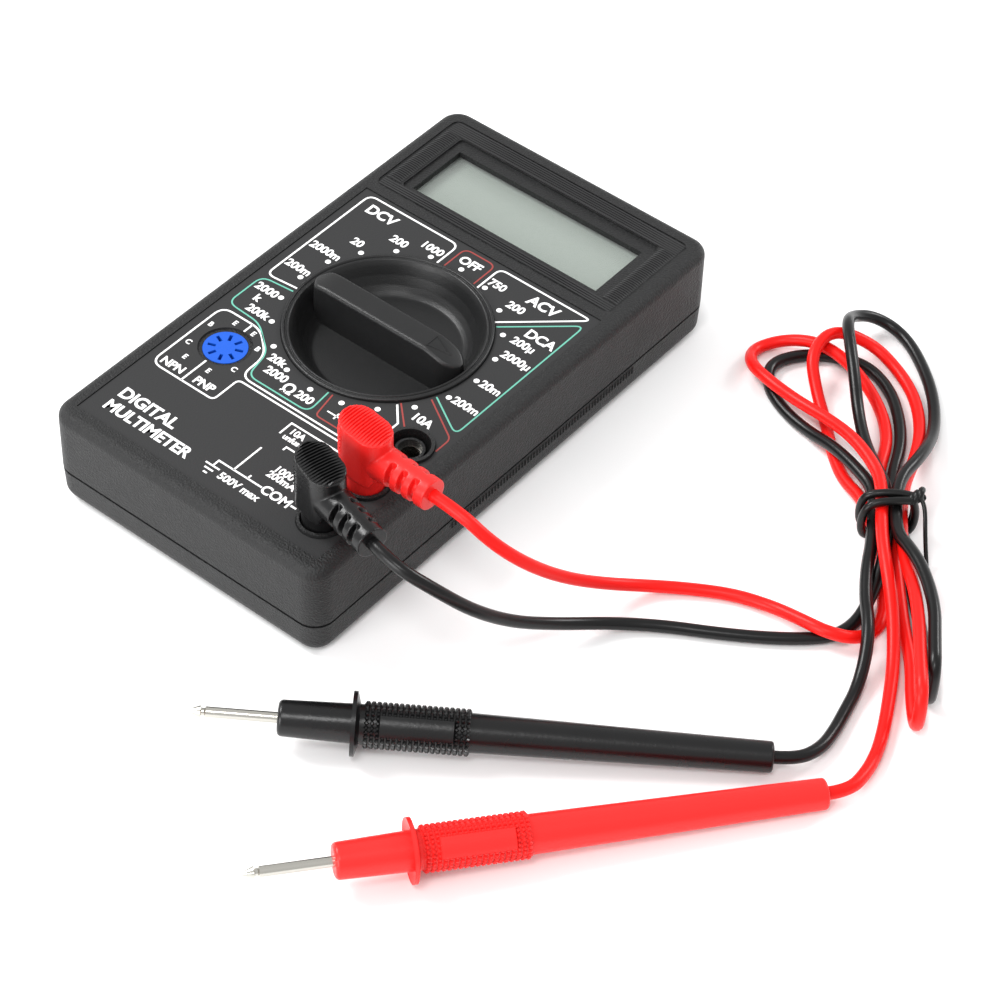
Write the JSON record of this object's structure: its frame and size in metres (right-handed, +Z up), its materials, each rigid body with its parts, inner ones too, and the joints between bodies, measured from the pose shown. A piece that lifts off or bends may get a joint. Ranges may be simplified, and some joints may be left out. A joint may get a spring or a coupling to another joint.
{
  "type": "digital multimeter",
  "caption": "Pocket digital multimeter with a display, a dished range knob, three jacks, a transistor socket and a pair of plugged-in test leads tied in loops.",
  "frame": {"origin": "centre of the meter's footprint, on the surface it lies on", "axes": "+Z up out of the front panel, +Y towards the display end, +X towards the side where the three jacks are"},
  "size_m": [0.1692, 0.2011, 0.0394],
  "materials": {
    "case_plastic": "fine spark-eroded texture, satin",
    "screw_steel": "zinc plated",
    "label_print": "printed panel, semi matte",
    "lens_clear": "clear polished",
    "lcd_glass": "grey-green reflective",
    "frame_plastic": "moulded black",
    "zebra_rubber": "pale striped elastomer",
    "knob_plastic": "satin moulded",
    "ball_steel": "polished",
    "spring_steel": "wire",
    "contact_brass": "tinned and bare brass",
    "board_laminate": "green solder mask",
    "socket_blue": "semi gloss moulded",
    "chip_epoxy": "cured black epoxy",
    "resistor_body": "lacquered",
    "capacitor_body": "dipped",
    "trimmer_body": "moulded",
    "shunt_metal": "drawn alloy wire",
    "fuse_glass": "glass with metal caps",
    "battery_can": "printed jacket",
    "wire_red": "insulated wire",
    "wire_black": "insulated wire",
    "lead_red": "soft glossy moulded",
    "plug_nickel": "nickel plated",
    "cord_red": "smooth glossy jacket",
    "lead_black": "soft glossy moulded",
    "cord_black": "smooth glossy jacket",
    "tie_plastic": "coated wire"
  },
  "bodies": {
    "meter": {"front_case": "case_plastic", "rear_case": "case_plastic", "case_screws": "screw_steel", "board_screws": "screw_steel", "label_panel": "label_print", "display_lens": "lens_clear", "lcd_panel": "lcd_glass", "lcd_frame": "frame_plastic", "zebra_strip": "zebra_rubber", "circuit_board": "board_laminate", "jack_10a": "contact_brass", "jack_vohm": "contact_brass", "jack_com": "contact_brass", "transistor_socket": "socket_blue", "socket_contacts": "contact_brass", "converter_chip": "chip_epoxy", "resistors": "resistor_body", "capacitors": "capacitor_body", "trimmer": "trimmer_body", "shunt_wire": "shunt_metal", "fuse": "fuse_glass", "fuse_clips": "contact_brass", "battery": "battery_can", "battery_snap": "chip_epoxy", "battery_wire_red": "wire_red", "battery_wire_black": "wire_black", "red_probe_handle": "lead_red", "red_probe_tip": "plug_nickel", "red_cord": "cord_red", "black_probe_handle": "lead_black", "black_probe_tip": "plug_nickel", "black_cord": "cord_black", "twist_tie": "tie_plastic"},
    "knob": {"range_knob": "knob_plastic", "detent_balls": "ball_steel", "detent_springs": "spring_steel", "wiper_contacts": "contact_brass"},
    "red_plug": {"red_plug_body": "lead_red", "red_plug_pin": "plug_nickel"},
    "black_plug": {"black_plug_body": "lead_black", "black_plug_pin": "plug_nickel"}
  },
  "joints": [
    {"name": "knob_turn", "type": "hinge", "parent": "meter", "child": "knob", "pos_m": [0, -0.001, 0.02], "axis": [0, 0, 1], "continuous": true},
    {"name": "red_plug_pull", "type": "slide", "parent": "meter", "child": "red_plug", "axis": [0, 0, 1], "range_m": [0, 0.016], "deforming": ["red_cord"]},
    {"name": "black_plug_pull", "type": "slide", "parent": "meter", "child": "black_plug", "axis": [0, 0, 1], "range_m": [0, 0.016], "deforming": ["black_cord"]}
  ]
}
